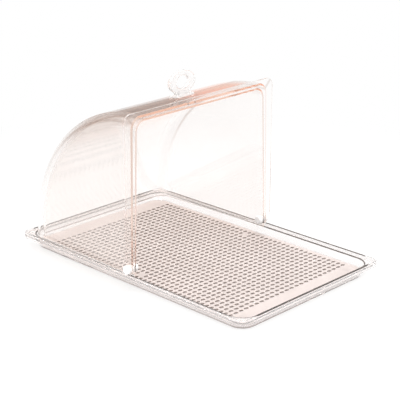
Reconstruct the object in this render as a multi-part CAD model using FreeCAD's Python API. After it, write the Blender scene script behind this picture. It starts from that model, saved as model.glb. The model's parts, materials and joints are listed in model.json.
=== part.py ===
import FreeCAD, Part
import math
import os

# Countertop bread display bin: a shallow tray with a perforated drainer, a fixed rear cover
# and a cover that rolls back over it on two white pins. Sizes in mm.
# X runs along the tray towards its open front, Y across it, Z up from the counter.

X_AXIS = FreeCAD.Vector(1, 0, 0)
Y_AXIS = FreeCAD.Vector(0, 1, 0)
Z_AXIS = FreeCAD.Vector(0, 0, 1)

# Tray, one moulding: outside sizes, then the rim with its turned-down lip and raised bead
tray_length = 530.0
tray_width = 336.4
tray_height = 25.0
tray_wall = 3.0
lip_height = 9.6
lip_wall = 3.0
rim_corner_radius = 12.0
bead_height = 4.0
bead_rounding = 1.0
end_ledge_width = 8.0
side_ledge_width = 10.2
well_corner_radius = 30.0
well_taper = 8.0

# Drainer that lies in the tray's well
drainer_thickness = 2.5
drainer_foot_height = 3.5
drainer_foot_radius = 6.0
drainer_clearance = 1.0
drainer_border = 12.0
drainer_pitch = 20.6
drainer_hole_side = 6.0
foot_rows_share = (-0.88, 0.0, 0.88)
foot_sides_share = (-0.85, 0.85)

# Covers: both turn round one pivot line, the rolling one outside the fixed one
pivot_forward = 10.0
pivot_rise = 8.0
roller_radius = 254.5
cover_wall = 3.0
cover_radial_gap = 3.5
cover_side_gap = 3.0
cover_edge_radius = 20.0
cover_inset = 1.0
fixed_lean_share = 0.033
roller_lean_share = 0.02
pivot_flat_reach = 12.0
seat_clearance = 0.3

# Foot of the fixed cover, which stands on the tray's ledge inside the bead
cover_foot_thickness = 2.0
cover_foot_clearance = 1.0
cover_foot_front_gap = 35.0

# Flange round the mouth of the rolling cover
flange_thickness = 3.0
flange_overhang = 4.8
flange_top_rise = 6.0
flange_corner_radius = 13.0
flange_end_rise = 7.0
flange_end_radius = 3.0

# Pivot pins with their inner caps and the washers that keep the covers apart
pin_radius = 2.5
pin_clearance = 0.05
pin_head_radius = 7.5
pin_head_thickness = 7.5
pin_head_rounding = 2.2
pin_tip_gap = 1.5
cap_thickness = 6.5
washer_radius = 6.5
side_play = 0.2

# Loop handle on the roof of the rolling cover, held by two screws from inside
handle_back = 41.0
handle_half_width = 30.0
handle_half_height = 19.5
handle_hole_half_width = 14.0
handle_hole_half_height = 11.0
handle_thickness = 8.0
handle_rounding = 2.5
handle_stand_off = 4.5
neck_width = 30.0
saddle_width = 42.0
saddle_length = 24.0
saddle_thickness = 3.0
saddle_corner_radius = 5.0
screw_radius = 1.5
screw_reach = 9.0
screw_head_radius = 3.2
screw_head_depth = 1.8
screw_spacing = 16.0

# Cutting tools run this far past what they cut
overrun = 20.0

# Levels and outlines that follow from the sizes above
ledge_height = tray_height - bead_height
well_depth = ledge_height - tray_wall
taper_rate = well_taper / well_depth
wall_across = tray_wall * math.sqrt(1 + taper_rate ** 2)
mouth_half_length = tray_length / 2 - end_ledge_width
mouth_half_width = tray_width / 2 - side_ledge_width
pivot_height = tray_height + pivot_rise
cover_front = pivot_rise - seat_clearance
fixed_radius = roller_radius - cover_wall - cover_radial_gap
fixed_half_width = mouth_half_width - cover_inset
roller_half_width = fixed_half_width + cover_side_gap + cover_wall
fixed_bottom = pivot_height - ledge_height
roller_bottom = fixed_bottom - cover_foot_thickness - seat_clearance
flange_half_width = tray_width / 2 + flange_overhang
flange_top = roller_radius + flange_top_rise
pivot = FreeCAD.Vector(pivot_forward, 0, pivot_height)
handle_angle = math.asin(handle_back / roller_radius)


def block(low, high):
    """Box between two corners."""
    size = high - low
    return Part.makeBox(size.x, size.y, size.z, low)


def rounded_outline(half_length, half_width, radius, height):
    """Closed wire of a rectangle with round corners, lying level at the given height."""
    a = half_length - radius
    b = half_width - radius
    edges = []
    corners = ((a, b, 0), (-a, b, 90), (-a, -b, 180), (a, -b, 270))
    for place, (x, y, start) in enumerate(corners):
        arc = Part.makeCircle(radius, FreeCAD.Vector(x, y, height), Z_AXIS, start, start + 90)
        edges.append(arc)
        turn = math.radians(start + 90)
        here = FreeCAD.Vector(x + radius * math.cos(turn), y + radius * math.sin(turn), height)
        x2, y2, _ = corners[(place + 1) % len(corners)]
        there = FreeCAD.Vector(x2 + radius * math.cos(turn), y2 + radius * math.sin(turn), height)
        edges.append(Part.makeLine(here, there))
    return Part.Wire(edges)


def slab(half_length, half_width, radius, low, high):
    """Flat plate with round corners between two heights."""
    face = Part.Face(rounded_outline(half_length, half_width, radius, low))
    return face.extrude(Z_AXIS * (high - low))


def well_outline(height, outside):
    """Outline of the tray's sloping well wall at a height, on its inner or outer face."""
    shift = (wall_across if outside else 0) - taper_rate * (ledge_height - height)
    return rounded_outline(mouth_half_length + shift, mouth_half_width + shift,
                           well_corner_radius + shift, height)


def well_solid(low, high, outside):
    """Tapered block inside one face of the well wall."""
    return Part.makeLoft([well_outline(low, outside), well_outline(high, outside)], True, True)


def make_tray():
    """Dished tray: floor and sloping wall, ledge, raised bead and turned-down lip."""
    half_length = tray_length / 2
    half_width = tray_width / 2
    lip_bottom = tray_height - lip_height
    rim = slab(half_length, half_width, rim_corner_radius, lip_bottom, tray_height)
    top_edges = [e for e in rim.Edges if e.BoundBox.ZMin > tray_height - bead_rounding]
    rim = rim.makeFillet(bead_rounding, top_edges)
    inner_radius = rim_corner_radius - lip_wall
    ledge_underside = ledge_height - tray_wall
    above = slab(half_length - lip_wall, half_width - lip_wall, inner_radius,
                 ledge_height, tray_height + overrun)
    below = slab(half_length - lip_wall, half_width - lip_wall, inner_radius,
                 lip_bottom - overrun, ledge_underside)
    body = rim.cut(above).cut(below).fuse(well_solid(0, ledge_underside, True))
    body = body.cut(well_solid(tray_wall, ledge_height, False))
    return body.removeSplitter()


def make_drainer():
    """Flat drainer with square holes, standing on round feet in the well."""
    underside = tray_wall + drainer_foot_height
    inset = taper_rate * (ledge_height - underside) + drainer_clearance
    half_length = mouth_half_length - inset
    half_width = mouth_half_width - inset
    plate = slab(half_length, half_width, well_corner_radius - inset,
                 underside, underside + drainer_thickness)
    columns = int((half_length - drainer_border) / drainer_pitch + 0.5)
    rows = int((half_width - drainer_border) / drainer_pitch + 0.5)
    half_hole = drainer_hole_side / 2
    holes = []
    for column in range(-columns, columns):
        for row in range(-rows, rows):
            x = (column + 0.5) * drainer_pitch
            y = (row + 0.5) * drainer_pitch
            holes.append(block(
                FreeCAD.Vector(x - half_hole, y - half_hole, underside - overrun),
                FreeCAD.Vector(x + half_hole, y + half_hole, underside + overrun)))
    plate = plate.cut(Part.makeCompound(holes))
    feet = []
    for along in foot_rows_share:
        for across in foot_sides_share:
            x = round(along * columns) * drainer_pitch
            y = round(across * rows) * drainer_pitch
            place = FreeCAD.Vector(x, y, tray_wall)
            feet.append(Part.makeCylinder(drainer_foot_radius, drainer_foot_height, place))
    return plate.fuse(feet)


def round_bar(radius, start, end, direction):
    """Round bar along a direction through the pivot, between two distances from it."""
    return Part.makeCylinder(radius, end - start, pivot + direction * start, direction)


def side_wedge(half_width, lean_share):
    """Space between the covers' side walls: parallel near the pivot, then leaning inwards
    along the diagonal away from it, as the mould's draft does."""
    reach = roller_radius * 2
    lean = lean_share * math.sqrt(2)
    flat = pivot_flat_reach / math.sqrt(2)
    far_half_width = half_width - lean * (reach - flat)
    away = FreeCAD.Vector(-1, 0, 1).normalize()
    along = FreeCAD.Vector(1, 0, 1).normalize()
    points = []
    for distance, width in ((-reach, half_width), (flat, half_width), (reach, far_half_width)):
        points.append(pivot + away * distance + Y_AXIS * width - along * reach)
    mirrored = [FreeCAD.Vector(p.x, -p.y, p.z) for p in reversed(points)]
    outline = points + mirrored
    face = Part.Face(Part.makePolygon(outline + outline[:1]))
    return face.extrude(along * (reach * 2))


def quarter_drum(radius, half_width, lean_share, edge_radius, front, bottom):
    """Solid quarter drum round the pivot, its curved edges rounded, cut off at its mouth."""
    drum = round_bar(radius, -half_width - overrun, half_width + overrun, Y_AXIS)
    drum = drum.common(side_wedge(half_width, lean_share))
    far = radius + overrun
    low = pivot + FreeCAD.Vector(-far, -far, -bottom - overrun)
    high = pivot + FreeCAD.Vector(front + overrun, far, far)
    drum = drum.common(block(low, high))
    rims = []
    for edge in drum.Edges:
        middle = edge.valueAt((edge.FirstParameter + edge.LastParameter) / 2)
        off = math.hypot(middle.x - pivot.x, middle.z - pivot.z)
        runs_across = edge.BoundBox.YLength > half_width
        if off > radius - edge_radius and not runs_across:
            rims.append(edge)
    drum = drum.makeFillet(edge_radius, rims)
    low = pivot + FreeCAD.Vector(-far, -far, -bottom)
    high = pivot + FreeCAD.Vector(front, far, far)
    return drum.common(block(low, high))


def cover_solids(radius, half_width, lean_share, bottom):
    """Outer drum of a cover and the drum that hollows it, which is open at mouth and base."""
    outside = quarter_drum(radius, half_width, lean_share, cover_edge_radius,
                           cover_front, bottom)
    inside = quarter_drum(radius - cover_wall, half_width - cover_wall, lean_share,
                          cover_edge_radius - cover_wall, cover_front + overrun,
                          bottom + overrun)
    return outside, inside


def make_fixed_cover():
    """Rear cover: hollow quarter drum with a foot round its base that stands on the ledge."""
    outside, inside = cover_solids(fixed_radius, fixed_half_width, fixed_lean_share,
                                   fixed_bottom)
    inner_radius = rim_corner_radius - lip_wall - cover_foot_clearance
    foot = slab(tray_length / 2 - lip_wall - cover_foot_clearance,
                tray_width / 2 - lip_wall - cover_foot_clearance, inner_radius,
                ledge_height, ledge_height + cover_foot_thickness)
    front = pivot_forward - cover_foot_front_gap
    rear_part = block(FreeCAD.Vector(-tray_length, -tray_width, 0),
                      FreeCAD.Vector(front, tray_width, tray_height + overrun))
    foot = foot.common(rear_part)
    bore = round_bar(pin_radius + pin_clearance, -tray_width, tray_width, Y_AXIS)
    return outside.fuse(foot).cut(inside).cut(bore).removeSplitter()


def make_flange():
    """Flat flange that stands out round the mouth, with round top corners and bottom ends."""
    back = cover_front - flange_thickness
    low = pivot + FreeCAD.Vector(back, -flange_half_width, flange_end_rise)
    high = pivot + FreeCAD.Vector(cover_front, flange_half_width, flange_top)
    plate = block(low, high)
    halfway = pivot_height + flange_top / 2
    through = [e for e in plate.Edges if e.BoundBox.XLength > flange_thickness / 2]
    plate = plate.makeFillet(flange_corner_radius,
                             [e for e in through if e.BoundBox.ZMin > halfway])
    through = [e for e in plate.Edges if e.BoundBox.XLength > flange_thickness / 2]
    return plate.makeFillet(flange_end_radius,
                            [e for e in through if e.BoundBox.ZMax < halfway])


def screw_frame(side):
    """Place and direction of a handle screw on the roof's outer face."""
    out = FreeCAD.Vector(-math.sin(handle_angle), 0, math.cos(handle_angle))
    place = pivot + out * roller_radius + Y_AXIS * (side * screw_spacing / 2)
    return place, out


def screw_solid(side, clearance):
    """Countersunk screw from inside the roof, grown by a clearance where it cuts a hole."""
    place, out = screw_frame(side)
    base = place - out * cover_wall
    shank = Part.makeCylinder(screw_radius + clearance, cover_wall + screw_reach + clearance,
                              base, out)
    head = Part.makeCone(screw_head_radius + clearance, screw_radius + clearance,
                         screw_head_depth, base, out)
    return shank.fuse(head)


def make_rolling_cover():
    """Outer cover: hollow quarter drum with the mouth flange, pin bores and screw holes."""
    outside, inside = cover_solids(roller_radius, roller_half_width, roller_lean_share,
                                   roller_bottom)
    bore = round_bar(pin_radius + pin_clearance, -tray_width, tray_width, Y_AXIS)
    body = outside.fuse(make_flange()).cut(inside).cut(bore)
    # the front bottom corner of each side wall is round, so that it can turn over the ledge
    level = cover_front - roller_bottom
    corner = block(pivot + FreeCAD.Vector(0, -tray_width, -roller_bottom),
                   pivot + FreeCAD.Vector(cover_front, tray_width, level))
    middle = pivot + FreeCAD.Vector(0, -tray_width, level)
    rounding = Part.makeCylinder(cover_front, tray_width * 2, middle, Y_AXIS)
    body = body.cut(corner.cut(rounding))
    for side in (-1, 1):
        body = body.cut(screw_solid(side, pin_clearance))
    return body.removeSplitter()


def oval_bar(half_width, half_height, centre):
    """Upright oval plate across the handle's thickness."""
    start = centre - X_AXIS * (handle_thickness / 2)
    oval = Part.Ellipse(FreeCAD.Vector(0, 0, 0), half_width, half_height)
    wire = Part.Wire(oval.toShape())
    face = Part.Face(wire)
    turn = FreeCAD.Rotation(Y_AXIS, Z_AXIS, X_AXIS, "XYZ")
    face.Placement = FreeCAD.Placement(start, turn)
    return face.extrude(X_AXIS * handle_thickness)


def make_handle():
    """Clear loop with a neck and a curved saddle that fits the roof."""
    _, out = screw_frame(0)
    roof = pivot_height + roller_radius * math.cos(handle_angle)
    centre = FreeCAD.Vector(pivot_forward - handle_back, 0,
                            roof + handle_stand_off + handle_half_height)
    loop = oval_bar(handle_half_width, handle_half_height, centre)
    loop = loop.cut(oval_bar(handle_hole_half_width, handle_hole_half_height, centre))
    loop = loop.makeFillet(handle_rounding, loop.Edges)
    half_neck = FreeCAD.Vector(handle_thickness / 2, neck_width / 2, 0)
    neck_top = FreeCAD.Vector(centre.x, 0, centre.z - handle_hole_half_height - handle_rounding)
    neck_bottom = FreeCAD.Vector(centre.x, 0, roof - overrun)
    neck = block(neck_bottom - half_neck, neck_top + half_neck)
    saddle = slab(saddle_length / 2, saddle_width / 2, saddle_corner_radius, -overrun, overrun)
    tilt = FreeCAD.Rotation(Y_AXIS, -math.degrees(handle_angle))
    saddle.Placement = FreeCAD.Placement(pivot + out * roller_radius, tilt)
    saddle = saddle.common(round_bar(roller_radius + saddle_thickness, -saddle_width,
                                     saddle_width, Y_AXIS))
    base = round_bar(roller_radius, -saddle_width, saddle_width, Y_AXIS)
    body = loop.fuse([neck, saddle]).cut(base)
    for side in (-1, 1):
        body = body.cut(screw_solid(side, pin_clearance))
    return body.removeSplitter()


def knob(radius, start, thickness, side):
    """Round head from a wall face outwards, its outer edge rounded."""
    disc = round_bar(radius, start, start + thickness, Y_AXIS * side)
    far = side * (start + thickness)
    rim = [e for e in disc.Edges if abs(e.BoundBox.Center.y - far) < pin_clearance]
    return disc.makeFillet(pin_head_rounding, rim)


def make_pin(side):
    """White pin: outer head and the shank that both side walls hang on."""
    head_face = roller_half_width + side_play
    cap_inner = fixed_half_width - cover_wall - cap_thickness
    head = knob(pin_head_radius, head_face, pin_head_thickness, side)
    shank = round_bar(pin_radius, cap_inner + pin_tip_gap, head_face + pin_head_rounding,
                      Y_AXIS * side)
    return head.fuse(shank).removeSplitter()


def make_cap(side):
    """White cap pressed on the pin's end inside the fixed cover."""
    wall_face = fixed_half_width - cover_wall
    disc = knob(pin_head_radius, -wall_face, cap_thickness, -side)
    bore = round_bar(pin_radius + pin_clearance, wall_face - cap_thickness + pin_tip_gap,
                     wall_face + overrun, Y_AXIS * side)
    return disc.cut(bore)


def make_washer(side):
    """White washer that keeps the rolling wall off the fixed one."""
    start = fixed_half_width
    end = fixed_half_width + cover_side_gap - side_play
    ring = round_bar(washer_radius, start, end, Y_AXIS * side)
    bore = round_bar(pin_radius + pin_clearance, start - overrun, end + overrun,
                     Y_AXIS * side)
    return ring.cut(bore)


parts = {
    "tray": make_tray(),
    "drainer": make_drainer(),
    "fixed_cover": make_fixed_cover(),
    "rolling_cover": make_rolling_cover(),
    "loop_handle": make_handle(),
}
for side, name in ((-1, "near"), (1, "far")):
    parts["handle_screw_" + name] = screw_solid(side, 0)
    parts["pivot_pin_" + name] = make_pin(side)
    parts["pivot_cap_" + name] = make_cap(side)
    parts["pivot_washer_" + name] = make_washer(side)

os.makedirs("parts", exist_ok=True)
for name, shape in parts.items():
    shape.exportStep(os.path.join("parts", name + ".step"))
    box = shape.BoundBox
    print(name, shape.isValid(), len(shape.Solids), round(shape.Volume),
          [round(v, 2) for v in (box.XMin, box.XMax, box.YMin, box.YMax, box.ZMin, box.ZMax)])
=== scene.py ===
import json
import math

import bmesh
import bpy
import numpy as np
from mathutils import Matrix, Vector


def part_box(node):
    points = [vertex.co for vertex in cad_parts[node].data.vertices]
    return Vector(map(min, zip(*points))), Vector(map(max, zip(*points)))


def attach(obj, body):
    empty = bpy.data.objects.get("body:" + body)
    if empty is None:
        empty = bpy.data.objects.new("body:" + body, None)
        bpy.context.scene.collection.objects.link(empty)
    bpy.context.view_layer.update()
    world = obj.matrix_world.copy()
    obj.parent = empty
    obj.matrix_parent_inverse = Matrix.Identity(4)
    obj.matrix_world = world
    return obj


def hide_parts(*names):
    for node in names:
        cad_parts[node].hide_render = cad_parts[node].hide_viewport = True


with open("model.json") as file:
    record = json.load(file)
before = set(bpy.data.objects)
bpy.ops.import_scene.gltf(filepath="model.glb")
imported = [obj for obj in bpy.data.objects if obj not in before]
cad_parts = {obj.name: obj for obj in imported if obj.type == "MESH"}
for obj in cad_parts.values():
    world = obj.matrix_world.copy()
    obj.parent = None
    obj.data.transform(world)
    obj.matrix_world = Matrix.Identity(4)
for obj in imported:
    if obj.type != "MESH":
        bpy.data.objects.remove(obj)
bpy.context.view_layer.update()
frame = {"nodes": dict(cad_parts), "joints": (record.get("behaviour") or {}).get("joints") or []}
nodes = frame["nodes"]


# Tray: one shallow moulding in clear plastic with a raised rim, a ledge and a rounded well.
# It is pressed in one piece, so its walls carry a faint ripple and the rim is lightly scuffed.
plastic_ior = 1.5
ripple_detail = 1.0
scuff_detail = 4.0
scuff_range = (0.42, 0.72)
scuff_share = 0.02
tint_detail = 2.0
tint_range = (0.38, 0.62)
relief_height = 0.001
most_turns = 10


def feed(tree, value, socket):
    """Gives a socket its value: a link from another socket, or a plain number or vector."""
    if isinstance(value, bpy.types.NodeSocket):
        tree.links.new(value, socket)
    else:
        socket.default_value = value


def number(tree, operation, *values):
    """Output of a Math node that is fed by sockets or by plain numbers."""
    node = tree.nodes.new("ShaderNodeMath")
    node.operation = operation
    for socket, value in zip(node.inputs, values):
        feed(tree, value, socket)
    return node.outputs["Value"]


def vector_math(tree, operation, *values):
    """Vector Math node that is fed by sockets or by plain vectors."""
    node = tree.nodes.new("ShaderNodeVectorMath")
    node.operation = operation
    for socket, value in zip(node.inputs, values):
        feed(tree, value, socket)
    return node


def together(tree, *masks):
    """The product of masks, which is 1 only where all of them are 1."""
    whole = masks[0]
    for mask in masks[1:]:
        whole = number(tree, "MULTIPLY", whole, mask)
    return whole


def ramp(tree, value, start, end, kind="LINEAR"):
    """Map Range node that goes from 0 where the value is start to 1 where it is end."""
    node = tree.nodes.new("ShaderNodeMapRange")
    node.interpolation_type = kind
    node.inputs["From Min"].default_value = start
    node.inputs["From Max"].default_value = end
    tree.links.new(value, node.inputs["Value"])
    return node


def soft_step(tree, value, start, end):
    """Mask that goes smoothly from 0 where the value is start to 1 where it is end."""
    return ramp(tree, value, start, end, "SMOOTHSTEP").outputs["Result"]


def mixed(tree, share, first, second):
    """Colour that goes from the first to the second as the share goes from 0 to 1."""
    mix = tree.nodes.new("ShaderNodeMix")
    mix.data_type = "RGBA"
    feed(tree, share, mix.inputs["Factor"])
    feed(tree, first, mix.inputs["A"])
    feed(tree, second, mix.inputs["B"])
    return mix.outputs["Result"]


def mixed_shaders(tree, share, first, second):
    """Mix node that goes from the first shader to the second as the share goes to 1."""
    mix = tree.nodes.new("ShaderNodeMixShader")
    tree.links.new(share, mix.inputs["Fac"])
    tree.links.new(first, mix.inputs[1])
    tree.links.new(second, mix.inputs[2])
    return mix


def own_place(tree):
    """The place on the piece in its own coordinates, as a vector and as x, y and z."""
    place = tree.nodes.new("ShaderNodeTexCoord").outputs["Object"]
    split = tree.nodes.new("ShaderNodeSeparateXYZ")
    tree.links.new(place, split.inputs["Vector"])
    return place, split.outputs["X"], split.outputs["Y"], split.outputs["Z"]


def noise_on_piece(tree, scale, detail):
    """Noise on the piece's own coordinates, at the scale that a socket gives."""
    noise = tree.nodes.new("ShaderNodeTexNoise")
    noise.inputs["Detail"].default_value = detail
    tree.links.new(tree.nodes.new("ShaderNodeTexCoord").outputs["Object"], noise.inputs["Vector"])
    tree.links.new(scale, noise.inputs["Scale"])
    return noise.outputs["Fac"]


def shader_group(name, ways_in, ways_out):
    """An empty shader node group with named sockets, and the nodes of its ways in and out."""
    group = bpy.data.node_groups.new(name, "ShaderNodeTree")
    for side, sockets in (("INPUT", ways_in), ("OUTPUT", ways_out)):
        for socket, kind in sockets.items():
            group.interface.new_socket(name=socket, in_out=side, socket_type=kind)
    return group, group.nodes.new("NodeGroupInput"), group.nodes.new("NodeGroupOutput")


def moulded_surface():
    """Shared finish: slow ripples plus fine scuffs, as a height and as a roughness.

    Height is the ripple noise plus a small share of the scuff noise. Roughness goes from
    Low to High where the scuff noise rises.
    """
    plain = "NodeSocketFloat"
    group, way_in, way_out = shader_group(
        "moulded_surface",
        {"Ripple Scale": plain, "Scuff Scale": plain, "Low": plain, "High": plain},
        {"Roughness": plain, "Height": plain},
    )
    ripple = noise_on_piece(group, way_in.outputs["Ripple Scale"], ripple_detail)
    scuff = noise_on_piece(group, way_in.outputs["Scuff Scale"], scuff_detail)
    rough = ramp(group, scuff, *scuff_range)
    group.links.new(way_in.outputs["Low"], rough.inputs["To Min"])
    group.links.new(way_in.outputs["High"], rough.inputs["To Max"])
    height = number(group, "MULTIPLY_ADD", scuff, scuff_share, ripple)
    group.links.new(rough.outputs["Result"], way_out.inputs["Roughness"])
    group.links.new(height, way_out.inputs["Height"])
    return group


def tint_drift():
    """Shared colour: two tints that drift into each other over the piece.

    The share of the second tint is a soft noise on object coordinates, stretched to 0 to 1.
    """
    colour = "NodeSocketColor"
    group, way_in, way_out = shader_group(
        "tint_drift",
        {"Main": colour, "Drift": colour, "Scale": "NodeSocketFloat"},
        {"Color": colour},
    )
    noise = noise_on_piece(group, way_in.outputs["Scale"], tint_detail)
    share = ramp(group, noise, *tint_range).outputs["Result"]
    tint = mixed(group, share, way_in.outputs["Main"], way_in.outputs["Drift"])
    group.links.new(tint, way_out.inputs["Color"])
    return group


SURFACE = moulded_surface()
TINTS = tint_drift()


def placed_group(tree, group, values):
    """A shared group in one material's tree, with that material's values."""
    node = tree.nodes.new("ShaderNodeGroup")
    node.node_tree = group
    for name, value in values.items():
        feed(tree, value, node.inputs[name])
    return node


def plastic(name, main, drift, tint_scale, low, high, ripple, scuff, bump, **sockets):
    """A plastic with drifting tints, scuffed roughness and a rippled face."""
    mat = bpy.data.materials.new(name)
    mat.use_nodes = True
    tree = mat.node_tree
    shader = tree.nodes["Principled BSDF"]
    tint = placed_group(tree, TINTS, {
        "Main": (*main, 1), "Drift": (*drift, 1), "Scale": tint_scale,
    })
    finish = placed_group(tree, SURFACE, {
        "Ripple Scale": ripple, "Scuff Scale": scuff, "Low": low, "High": high,
    })
    relief = tree.nodes.new("ShaderNodeBump")
    relief.inputs["Strength"].default_value = bump
    relief.inputs["Distance"].default_value = relief_height
    tree.links.new(tint.outputs["Color"], shader.inputs["Base Color"])
    tree.links.new(finish.outputs["Roughness"], shader.inputs["Roughness"])
    tree.links.new(finish.outputs["Height"], relief.inputs["Height"])
    tree.links.new(relief.outputs["Normal"], shader.inputs["Normal"])
    for socket, value in sockets.items():
        shader.inputs[socket.replace("_", " ")].default_value = value
    return mat


def add_tint(mat, mask, tint):
    """Mixes one more tint into a plastic's colour where the mask is 1."""
    tree = mat.node_tree
    base = tree.nodes["Principled BSDF"].inputs["Base Color"]
    tree.links.new(mixed(tree, mask, base.links[0].from_socket, tint), base)


def let_lamps_through(mat, shade):
    """Rays from the lamps pass the wall unbent, in its shade, so that what it covers is lit."""
    tree = mat.node_tree
    path = tree.nodes.new("ShaderNodeLightPath")
    passing = number(tree, "MAXIMUM", path.outputs["Is Shadow Ray"], path.outputs["Is Diffuse Ray"])
    solid = tree.nodes["Principled BSDF"].outputs["BSDF"]
    clear = tree.nodes.new("ShaderNodeBsdfTransparent")
    clear.inputs["Color"].default_value = (*shade, 1)
    wall = mixed_shaders(tree, passing, solid, clear.outputs["BSDF"])
    wall.name = "Wall"
    tree.links.new(wall.outputs["Shader"], tree.nodes["Material Output"].inputs["Surface"])


def glow_at_edges(mat, depth, density):
    """Light that runs along inside a clear wall fades towards the colour depth, by density for
    each metre, and leaves the wall after most_turns reflections."""
    tree = mat.node_tree
    path = tree.nodes.new("ShaderNodeLightPath")
    passing = tree.nodes["Wall"].inputs["Fac"]
    trapped = number(tree, "GREATER_THAN", path.outputs["Ray Depth"], most_turns)
    tree.links.new(number(tree, "MAXIMUM", passing.links[0].from_socket, trapped), passing)
    body = tree.nodes.new("ShaderNodeVolumeAbsorption")
    body.inputs["Color"].default_value = (*depth, 1)
    body.inputs["Density"].default_value = density
    tree.links.new(body.outputs["Volume"], tree.nodes["Material Output"].inputs["Volume"])


def dress(node, mat):
    """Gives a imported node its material."""
    for socket in nodes[node].material_slots:
        socket.material = mat


tray_top = np.array(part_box("tray")[1])
rim_width = (0.008, 0.0102)
well_half = tray_top[:2] - rim_width
well_corner = 0.03
past_any_height = 1
line_width = 0.0016
ledge_drop = 0.004
ledge_height = tray_top[2] - ledge_drop
ledge_skin = (0.0018, 0.0012)
bead_inside = (0.0042, 0.0047)
bead_outside = (0.0092, 0.0084)
bead_skin = (0.0016, 0.001)
lip_depth = 0.0096
lip_bottom = tray_top[2] - lip_depth
lip_inside = (0.006, 0.0065)
lip_strength = 0.15
foot_start = (0.0001, 0.0003)
foot_strength = 0.3
painted_edge_shade = (0.04, 0.03, 0.025, 1)


def tray_edge_shade(tree):
    """Mask of painted shade on the edges where light trapped in a clear tray looks dark.

    They are the well's edge, a rounded rectangle in plan, the bead that runs round outside it
    and, fainter, the lip's lower edge and the tray's foot. The distance from the rounded
    rectangle is the length of |p| less the middle of its corner arc, where that is positive,
    less the arc's radius. The arc's middle lies past any height, so z doesn't count.
    """
    place, _, _, height = own_place(tree)
    size = vector_math(tree, "ABSOLUTE", place).outputs["Vector"]
    arc_middle = (*(well_half - well_corner), past_any_height)
    past = vector_math(tree, "SUBTRACT", size, arc_middle).outputs["Vector"]
    outer = vector_math(tree, "MAXIMUM", past, (0, 0, 0)).outputs["Vector"]
    reach = vector_math(tree, "LENGTH", outer).outputs["Value"]
    off = number(tree, "SUBTRACT", reach, well_corner)
    well = together(
        tree,
        soft_step(tree, number(tree, "ABSOLUTE", off), line_width, line_width / 2),
        soft_step(tree, height, ledge_height - ledge_skin[0], ledge_height - ledge_skin[1]),
    )
    bead = together(
        tree,
        soft_step(tree, off, *bead_inside),
        soft_step(tree, off, *bead_outside),
        soft_step(tree, height, tray_top[2] - bead_skin[0], tray_top[2] - bead_skin[1]),
    )
    lip = together(
        tree,
        soft_step(tree, height, lip_bottom + line_width, lip_bottom + line_width / 2),
        soft_step(tree, off, *lip_inside),
        lip_strength,
    )
    foot = together(
        tree,
        soft_step(tree, height, line_width, line_width / 2),
        soft_step(tree, height, *foot_start),
        foot_strength,
    )
    dark = number(tree, "MAXIMUM", well, bead)
    faint = number(tree, "MAXIMUM", lip, foot)
    return number(tree, "MAXIMUM", dark, faint)


tray_clear = plastic(
    "tray_clear", main=(0.985, 0.965, 0.96), drift=(0.965, 0.94, 0.935), tint_scale=7.0,
    low=0.01, high=0.04, ripple=18.0, scuff=300.0, bump=0.01,
    Transmission_Weight=0.88, IOR=plastic_ior,
)
# Painted shade: near-black lines on the tray's edges, where trapped light makes clear plastic look
# dark.
add_tint(tray_clear, tray_edge_shade(tray_clear.node_tree), painted_edge_shade)
let_lamps_through(tray_clear, shade=(0.9, 0.89, 0.885))
glow_at_edges(tray_clear, depth=(0.80, 0.74, 0.71), density=6.0)
dress("tray", tray_clear)


# Drainer: a flat plate with close rows of oblong holes, on short feet in the well.
# It is moulded in milky plastic that glows through a little, and it lifts out for washing.
column_count = 43
row_count = 24
column_pitch = 0.0101
row_pitch = 0.012
column_lines = (np.arange(column_count + 1) - column_count / 2) * column_pitch
row_lines = (np.arange(row_count + 1) - row_count / 2) * row_pitch
hole_length = 0.0088
hole_width = 0.0054
hole_end_points = 6
hole_points = 2 * hole_end_points
hole_first_point = 8
drainer_low, drainer_high = (np.array(corner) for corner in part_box("drainer"))
plate_half = drainer_high[:2]
plate_top = drainer_high[2]
plate_thickness = 0.0025
plate_bottom = plate_top - plate_thickness
plate_corner = 0.02256
corner_points = 13
edge_round = 0.0006
face_skin = 0.0001
foot_radius = 0.006
foot_reach = 0.2266
foot_rows_out = 10.5
foot_side = foot_rows_out * row_pitch
foot_points = 24
merge_reach = 1e-6


def oblong_hole():
    """Outline of one hole: a half circle at each end of a straight run across the tray.

    It starts at the point that faces the first corner of the hole's cell.
    """
    step = (np.arange(hole_points) + hole_first_point) % hole_points
    lower = step >= hole_end_points
    angle = (step - lower) * math.pi / (hole_end_points - 1)
    end = (hole_length - hole_width) / 2
    return np.column_stack((
        hole_width / 2 * np.cos(angle),
        hole_width / 2 * np.sin(angle) + np.where(lower, -end, end),
    ))


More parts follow.
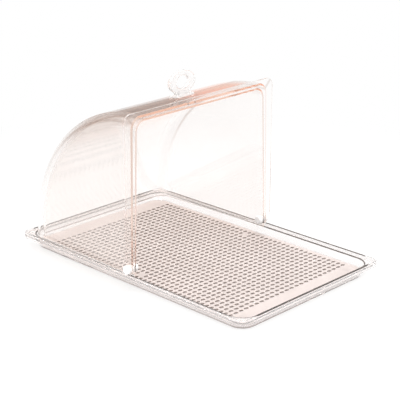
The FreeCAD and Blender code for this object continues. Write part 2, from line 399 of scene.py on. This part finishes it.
def pierced_cells(places, hole):
    """Cells of the plate round the given places, each with a hole through it or none.

    One cell is its rectangle and the hole's outline, joined by flat faces above and below
    and by the hole's wall. Every other cell is the same mesh moved to its place.
    """
    half_x, half_y = column_pitch / 2, row_pitch / 2
    flat = np.array([(half_x, -half_y), (half_x, half_y), (-half_x, half_y), (-half_x, -half_y)])
    lid = np.array([(0, 1, 2), (0, 2, 3)])
    wall = np.empty((0, 3), dtype=int)
    if hole:
        corners = len(flat)
        corner = np.arange(corners)
        edges = hole_points // corners
        fans = [np.column_stack((
            corner,
            corners + (edges * corner + edge + 1) % hole_points,
            corners + edges * corner + edge,
        )) for edge in range(edges)]
        sides = np.column_stack((
            corner, (corner + 1) % corners, corners + (edges * corner + edges) % hole_points,
        ))
        lid = np.concatenate((*fans, sides))
        flat = np.concatenate((flat, oblong_hole()))
        ring = corners + np.arange(hole_points)
        after = corners + (np.arange(hole_points) + 1) % hole_points
        wall = np.concatenate((
            np.column_stack((ring, after, after + len(flat))),
            np.column_stack((ring, after + len(flat), ring + len(flat))),
        ))
    count = len(flat)
    cell = np.concatenate((
        np.column_stack((flat, np.full(count, plate_top))),
        np.column_stack((flat, np.full(count, plate_bottom))),
    ))
    faces = np.concatenate((lid, lid[:, ::-1] + count, wall))
    shifts = np.column_stack((places, np.zeros(len(places))))
    points = (cell[None] + shifts[:, None]).reshape(-1, 3)
    steps = np.arange(len(places)) * len(cell)
    return points, (faces[None] + steps[:, None, None]).reshape(-1, 3)


def plate_outline(inset):
    """Points round the plate, moved in by inset: a quarter circle at each corner and, between
    them, straight runs with a point at every cell's corner."""
    arc_x, arc_y = plate_half - plate_corner
    turn = np.radians(np.linspace(0, 90, corner_points))
    run_x = column_lines[1:-1][::-1]
    run_x = run_x[np.abs(run_x) < arc_x]
    run_y = row_lines[1:-1][::-1]
    run_y = run_y[np.abs(run_y) < arc_y]
    reach = plate_corner - inset
    stretches = []
    for quarter, (side_x, side_y) in enumerate(((1, 1), (-1, 1), (-1, -1), (1, -1))):
        angle = turn + quarter * math.pi / 2
        stretches.append(np.column_stack((
            side_x * arc_x + reach * np.cos(angle), side_y * arc_y + reach * np.sin(angle),
        )))
        if quarter % 2 == 0:
            stretches.append(np.column_stack((
                run_x * side_x, np.full(len(run_x), side_y * (plate_half[1] - inset)),
            )))
        else:
            stretches.append(np.column_stack((
                np.full(len(run_y), side_x * (plate_half[0] - inset)), run_y * side_y,
            )))
    return np.concatenate(stretches)


def loop_band(loops):
    """Closed rows of points, one inside or under the other, joined by a band of quads."""
    count = len(loops[0])
    ring = np.arange(count)
    after = (ring + 1) % count
    faces = []
    for row in range(len(loops) - 1):
        start = row * count
        faces.append(np.column_stack((
            start + ring, start + count + ring, start + count + after, start + after,
        )))
    return np.concatenate(loops), np.concatenate(faces)


def plate_border():
    """Plain rim of the plate, from the outermost cells out, over its rounded edge and back."""
    outline = plate_outline(0)
    near_x = np.abs(outline[:, :1] - column_lines).argmin(axis=1)
    near_y = np.abs(outline[:, 1:] - row_lines).argmin(axis=1)
    inner = np.column_stack((column_lines[near_x], row_lines[near_y]))
    loops = []
    for flat, z in (
        (inner, plate_top),
        (plate_outline(edge_round), plate_top),
        (outline, plate_top - edge_round),
        (outline, plate_bottom + edge_round),
        (plate_outline(edge_round), plate_bottom),
        (inner, plate_bottom),
    ):
        loops.append(np.column_stack((flat, np.full(len(flat), z))))
    return loop_band(loops)


def turned_foot(x, y):
    """Round foot: a profile of radii and heights turned about the upright line at x, y."""
    angle = np.linspace(0, 2 * math.pi, foot_points, endpoint=False)
    foot_floor = drainer_low[2]
    loops = []
    for radius, z in (
        (0, plate_bottom + edge_round),
        (foot_radius, plate_bottom + edge_round),
        (foot_radius, foot_floor + edge_round),
        (foot_radius - edge_round, foot_floor),
        (0, foot_floor),
    ):
        loops.append(np.column_stack((
            x + radius * np.cos(angle), y + radius * np.sin(angle), np.full(foot_points, z),
        )))
    return loop_band(loops)


def joined_mesh(name, parts):
    """One mesh from several sets of points and faces, with the points that meet merged."""
    points = []
    faces = []
    start = 0
    for some_points, some_faces in parts:
        points.append(some_points)
        faces.extend((some_faces + start).tolist())
        start += len(some_points)
    mesh = bpy.data.meshes.new(name)
    mesh.from_pydata(np.concatenate(points), [], faces)
    work = bmesh.new()
    work.from_mesh(mesh)
    bmesh.ops.remove_doubles(work, verts=work.verts, dist=merge_reach)
    work.to_mesh(mesh)
    work.free()
    piece = bpy.data.objects.new(name, mesh)
    bpy.context.scene.collection.objects.link(piece)
    return piece


def hole_wall_shade(tree):
    """Mask of painted shade on the holes' walls, which lie between the plate's two faces."""
    height = own_place(tree)[-1]
    under = soft_step(tree, height, plate_top - face_skin, plate_top - 2 * face_skin)
    over = soft_step(tree, height, plate_bottom + face_skin, plate_bottom + 2 * face_skin)
    return together(tree, under, over)


middle_x = (column_lines[:-1] + column_lines[1:]) / 2
middle_y = (row_lines[:-1] + row_lines[1:]) / 2
places = np.stack(np.meshgrid(middle_x, middle_y), axis=-1).reshape(-1, 2)
feet = np.array([(x, y) for x in (-foot_reach, 0, foot_reach) for y in (-foot_side, foot_side)])
over_foot = (np.linalg.norm(places[:, None] - feet, axis=2) < foot_radius).any(axis=1)
drainer = joined_mesh("drainer_plate", (
    pierced_cells(places[~over_foot], True),
    pierced_cells(places[over_foot], False),
    plate_border(),
    *(turned_foot(x, y) for x, y in feet),
))
drainer_milky = plastic(
    "drainer_milky", main=(0.80, 0.72, 0.69), drift=(0.76, 0.68, 0.65), tint_scale=9.0,
    low=0.28, high=0.4, ripple=30.0, scuff=420.0, bump=0.04,
    Transmission_Weight=0.35, IOR=plastic_ior,
)
# Painted shade: the holes' walls are darkened so that the holes look dark, as in shade.
add_tint(drainer_milky, hole_wall_shade(drainer_milky.node_tree), (0.40, 0.34, 0.31, 1))
let_lamps_through(drainer_milky, shade=(0.55, 0.51, 0.50))
drainer.data.materials.append(drainer_milky)
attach(drainer, "rack")
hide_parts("drainer")


# Covers: two nested quarter drums in clear plastic. The rear one stands on the tray's ledge,
# and the larger one, with a flange round its mouth, rolls back over it on the two pins.
shell_roll = next(joint for joint in frame["joints"] if joint["name"] == "shell_roll")
pivot_x, _, pivot_z = shell_roll["pos_m"]
reflected_brown = (0.45, 0.33, 0.27, 1)
reflected_salmon = (1.0, 0.59, 0.46, 1)
side_change = (-0.05, 0.05)
roof_radius = (0.248, 0.250)
roof_height = (0.17, 0.272)
front_end = (0.0145, 0.0125)
front_shift = 0.015
side_end = (0.162, 0.13)
far_end = (0.145, 0.10)
salmon_end = (0.151, 0.148)
edge_offset = 0.0895
edge_width = (0.004, 0.002)
edge_side = (0.146, 0.15)
edge_height = (0.1, 0.2)
edge_strength = 0.35


def roof_painted_reflection(tree):
    """Mask and colour of a painted reflection in the roof, grey brown near and salmon far.

    The roof is where the distance from the pivot line nearly reaches the covers' radii, and
    the painted reflection fades downwards, at the front and at both sides. A fainter line of it
    follows the covers' rounded side edges, where that distance is |y| plus a fixed length.
    """
    _, x, y, z = own_place(tree)
    forward = number(tree, "SUBTRACT", x, pivot_x)
    rise = number(tree, "SUBTRACT", z, pivot_z)
    rise_squared = number(tree, "MULTIPLY", rise, rise)
    radius = number(tree, "SQRT", number(tree, "MULTIPLY_ADD", forward, forward, rise_squared))
    wide = number(tree, "ABSOLUTE", y)
    side = soft_step(tree, y, *side_change)
    top = together(
        tree,
        soft_step(tree, radius, *roof_radius),
        soft_step(tree, z, *roof_height),
        soft_step(tree, number(tree, "MULTIPLY_ADD", side, front_shift, x), *front_end),
        soft_step(tree, wide, *side_end),
        soft_step(tree, y, *far_end),
    )
    off_edge = number(tree, "SUBTRACT", radius, number(tree, "ADD", wide, edge_offset))
    edge = together(
        tree,
        soft_step(tree, number(tree, "ABSOLUTE", off_edge), *edge_width),
        soft_step(tree, wide, *edge_side),
        soft_step(tree, z, *edge_height),
        edge_strength,
    )
    salmon_share = together(tree, side, soft_step(tree, wide, *salmon_end))
    tint = mixed(tree, salmon_share, reflected_brown, reflected_salmon)
    return number(tree, "MAXIMUM", top, edge), tint


cover_clear = plastic(
    "cover_clear", main=(0.998, 0.995, 0.993), drift=(0.99, 0.982, 0.978), tint_scale=5.0,
    low=0.0, high=0.02, ripple=9.0, scuff=240.0, bump=0.025,
    Transmission_Weight=1.0, IOR=plastic_ior,
)
# Painted reflection: the roof is tinted grey brown and salmon, as warm surroundings mirrored in it.
add_tint(cover_clear, *roof_painted_reflection(cover_clear.node_tree))
let_lamps_through(cover_clear, shade=(0.97, 0.965, 0.96))
glow_at_edges(cover_clear, depth=(0.95, 0.55, 0.33), density=5.5)
for node in ("fixed_cover", "rolling_cover"):
    dress(node, cover_clear)


# Loop handle: a thick moulding in clear plastic that is a little cloudy all through.
# It stands on a saddle that follows the roof, and two screws hold it from inside.
handle_clear = plastic(
    "handle_clear", main=(0.93, 0.925, 0.925), drift=(0.90, 0.89, 0.885), tint_scale=30.0,
    low=0.1, high=0.18, ripple=60.0, scuff=500.0, bump=0.02,
    Transmission_Weight=0.62, IOR=plastic_ior,
)
let_lamps_through(handle_clear, shade=(0.95, 0.945, 0.94))
glow_at_edges(handle_clear, depth=(0.74, 0.68, 0.66), density=12.0)
dress("loop_handle", handle_clear)


# Pivots: white moulded pins, caps and washers that join the two covers at each side.
# Each pin goes through both walls from outside, and a cap holds its inner end.
hinge_white = plastic(
    "hinge_white", main=(0.98, 0.96, 0.95), drift=(0.96, 0.93, 0.92), tint_scale=60.0,
    low=0.18, high=0.32, ripple=90.0, scuff=700.0, bump=0.1,
    Coat_Weight=0.4,
)
for side in ("near", "far"):
    for part in ("pin", "cap", "washer"):
        dress(f"pivot_{part}_{side}", hinge_white)


# Handle screws: two small countersunk steel screws that hold the loop handle.
# They are driven from inside the roof, and their steel is plain and a little scuffed.
screw_steel = plastic(
    "screw_bright_steel", main=(0.55, 0.54, 0.53), drift=(0.42, 0.41, 0.40), tint_scale=200.0,
    low=0.25, high=0.4, ripple=300.0, scuff=900.0, bump=0.2,
    Metallic=1.0,
)
for side in ("near", "far"):
    dress(f"handle_screw_{side}", screw_steel)


# Studio: a pale floor that fades into a white surround, with soft light from above and the
# front. Reflections see the surround greyer towards the horizon, so that clear walls show.
white = (1, 1, 1, 1)
white_strength = 1.0
floor_reach = 6.0
floor_drop = 0.0004
floor_grey = 0.36
floor_glow = 0.54
floor_bounce = 0.8
floor_fade = (0.4, 0.9)
mirror_low = (0.70, 0.66, 0.64, 1)
mirror_middle = (0.78, 0.75, 0.73, 1)
mirror_middle_height = 0.35
mirror_white_height = 0.75
mirror_turns = 8
lamp_aim = (0, 0, 0.1)


def matte_shader(tree, grey):
    """Output of a matte shader in a plain grey."""
    matte = tree.nodes.new("ShaderNodeBsdfDiffuse")
    matte.inputs["Color"].default_value = (grey, grey, grey, 1)
    return matte.outputs["BSDF"]


def white_glow(tree, strength):
    """Output of a shader that glows white."""
    glow = tree.nodes.new("ShaderNodeEmission")
    glow.inputs["Color"].default_value = white
    glow.inputs["Strength"].default_value = strength
    return glow.outputs["Emission"]


floor_corners = [
    (side_x * floor_reach, side_y * floor_reach, -floor_drop)
    for side_x, side_y in ((-1, -1), (1, -1), (1, 1), (-1, 1))
]
floor_mesh = bpy.data.meshes.new("floor")
floor_mesh.from_pydata(floor_corners, [], [(0, 1, 2, 3)])
floor = bpy.data.objects.new("floor", floor_mesh)
bpy.context.scene.collection.objects.link(floor)

floor_mat = bpy.data.materials.new("floor_white")
floor_mat.use_nodes = True
tree = floor_mat.node_tree
tree.nodes.remove(tree.nodes["Principled BSDF"])
near_floor = tree.nodes.new("ShaderNodeAddShader")
tree.links.new(matte_shader(tree, floor_grey), near_floor.inputs[0])
tree.links.new(white_glow(tree, floor_glow), near_floor.inputs[1])

# The view, mirrors and clear walls see the floor fade into white. What lights the object
# from below is a plain pale floor.
path = tree.nodes.new("ShaderNodeLightPath")
seen = number(tree, "MAXIMUM", path.outputs["Is Camera Ray"], path.outputs["Is Glossy Ray"])
seen = number(tree, "MAXIMUM", seen, path.outputs["Is Transmission Ray"])
far = soft_step(tree, vector_math(tree, "LENGTH", own_place(tree)[0]).outputs["Value"], *floor_fade)
shown = mixed_shaders(tree, far, near_floor.outputs["Shader"], white_glow(tree, white_strength))
surface = mixed_shaders(tree, seen, matte_shader(tree, floor_bounce), shown.outputs["Shader"])
tree.links.new(surface.outputs["Shader"], tree.nodes["Material Output"].inputs["Surface"])
floor.data.materials.append(floor_mat)

world = bpy.data.worlds.new("studio")
bpy.context.scene.world = world
world.use_nodes = True
tree = world.node_tree
surround = tree.nodes["Background"]
surround.inputs["Color"].default_value = white
surround.inputs["Strength"].default_value = white_strength
mirrored = tree.nodes.new("ShaderNodeBackground")
mirrored.inputs["Strength"].default_value = white_strength
place = tree.nodes.new("ShaderNodeTexCoord")
split = tree.nodes.new("ShaderNodeSeparateXYZ")
tones = tree.nodes.new("ShaderNodeValToRGB")
stops = tones.color_ramp.elements
stops[0].color = mirror_low
stops[1].position = mirror_white_height
stops[1].color = white
stops.new(mirror_middle_height).color = mirror_middle
tree.links.new(place.outputs["Generated"], split.inputs["Vector"])
tree.links.new(split.outputs["Z"], tones.inputs["Fac"])
tree.links.new(tones.outputs["Color"], mirrored.inputs["Color"])

# Only reflections within the first mirror_turns see the tones, and all else sees white.
path = tree.nodes.new("ShaderNodeLightPath")
early = number(tree, "LESS_THAN", path.outputs["Ray Depth"], mirror_turns)
back = together(tree, path.outputs["Is Glossy Ray"], early, path.outputs["Is Reflection Ray"])
around = mixed_shaders(tree, back, surround.outputs["Background"], mirrored.outputs["Background"])
tree.links.new(around.outputs["Shader"], tree.nodes["World Output"].inputs["Surface"])


def standing(place, right, up, back):
    """Matrix that puts an object at a place, with its axes along three directions."""
    turn = np.eye(4)
    turn[:3] = np.column_stack((right, up, back, place))
    return Matrix(turn.tolist())


def soft_lamp(name, place, size, power):
    """A square soft lamp that faces the middle of the object."""
    data = bpy.data.lights.new(name, "AREA")
    data.shape = "SQUARE"
    data.size = size
    data.energy = power
    back = np.array(place) - lamp_aim
    back = back / np.linalg.norm(back)
    right = np.cross((0, 0, 1), back)
    right = right / np.linalg.norm(right)
    lamp = bpy.data.objects.new(name, data)
    lamp.matrix_world = standing(place, right, np.cross(back, right), back)
    bpy.context.scene.collection.objects.link(lamp)


soft_lamp("top_lamp", (-0.3, 0.5, 2.0), size=1.6, power=22.0)
soft_lamp("side_lamp", (1.4, -0.6, 1.6), size=1.2, power=10.0)
soft_lamp("front_lamp", (0.4, -1.8, 0.7), size=0.8, power=8.0)


# Camera: it looks at the open front's near corner, from a little above the roof.
# Light may turn often enough to come through the covers' walls and out at their edges.
camera_place = (1.36295, -1.37499, 0.80801)
camera_azimuth = math.radians(44.508)
camera_rise = math.radians(19.892)
camera_roll = math.radians(-0.0794)
camera_sensor = 36.0
camera_lens = 109.37
spare_turns = 8
most_clear_walls = 32
camera_back = np.array([
    math.sin(camera_azimuth) * math.cos(camera_rise),
    -math.cos(camera_azimuth) * math.cos(camera_rise),
    math.sin(camera_rise),
])
level_right = np.array([math.cos(camera_azimuth), math.sin(camera_azimuth), 0])
level_up = np.cross(camera_back, level_right)
camera_right = math.cos(camera_roll) * level_right + math.sin(camera_roll) * level_up
camera_up = math.cos(camera_roll) * level_up - math.sin(camera_roll) * level_right
camera_data = bpy.data.cameras.new("camera")
camera_data.sensor_width = camera_sensor
camera_data.lens = camera_lens
camera = bpy.data.objects.new("camera", camera_data)
camera.matrix_world = standing(camera_place, camera_right, camera_up, camera_back)
bpy.context.scene.collection.objects.link(camera)
bpy.context.scene.camera = camera
bpy.context.scene.view_settings.view_transform = "Standard"
light_paths = bpy.context.scene.cycles
light_paths.max_bounces = most_turns + spare_turns
light_paths.glossy_bounces = most_turns + spare_turns
light_paths.transmission_bounces = most_turns + spare_turns
light_paths.transparent_max_bounces = most_clear_walls
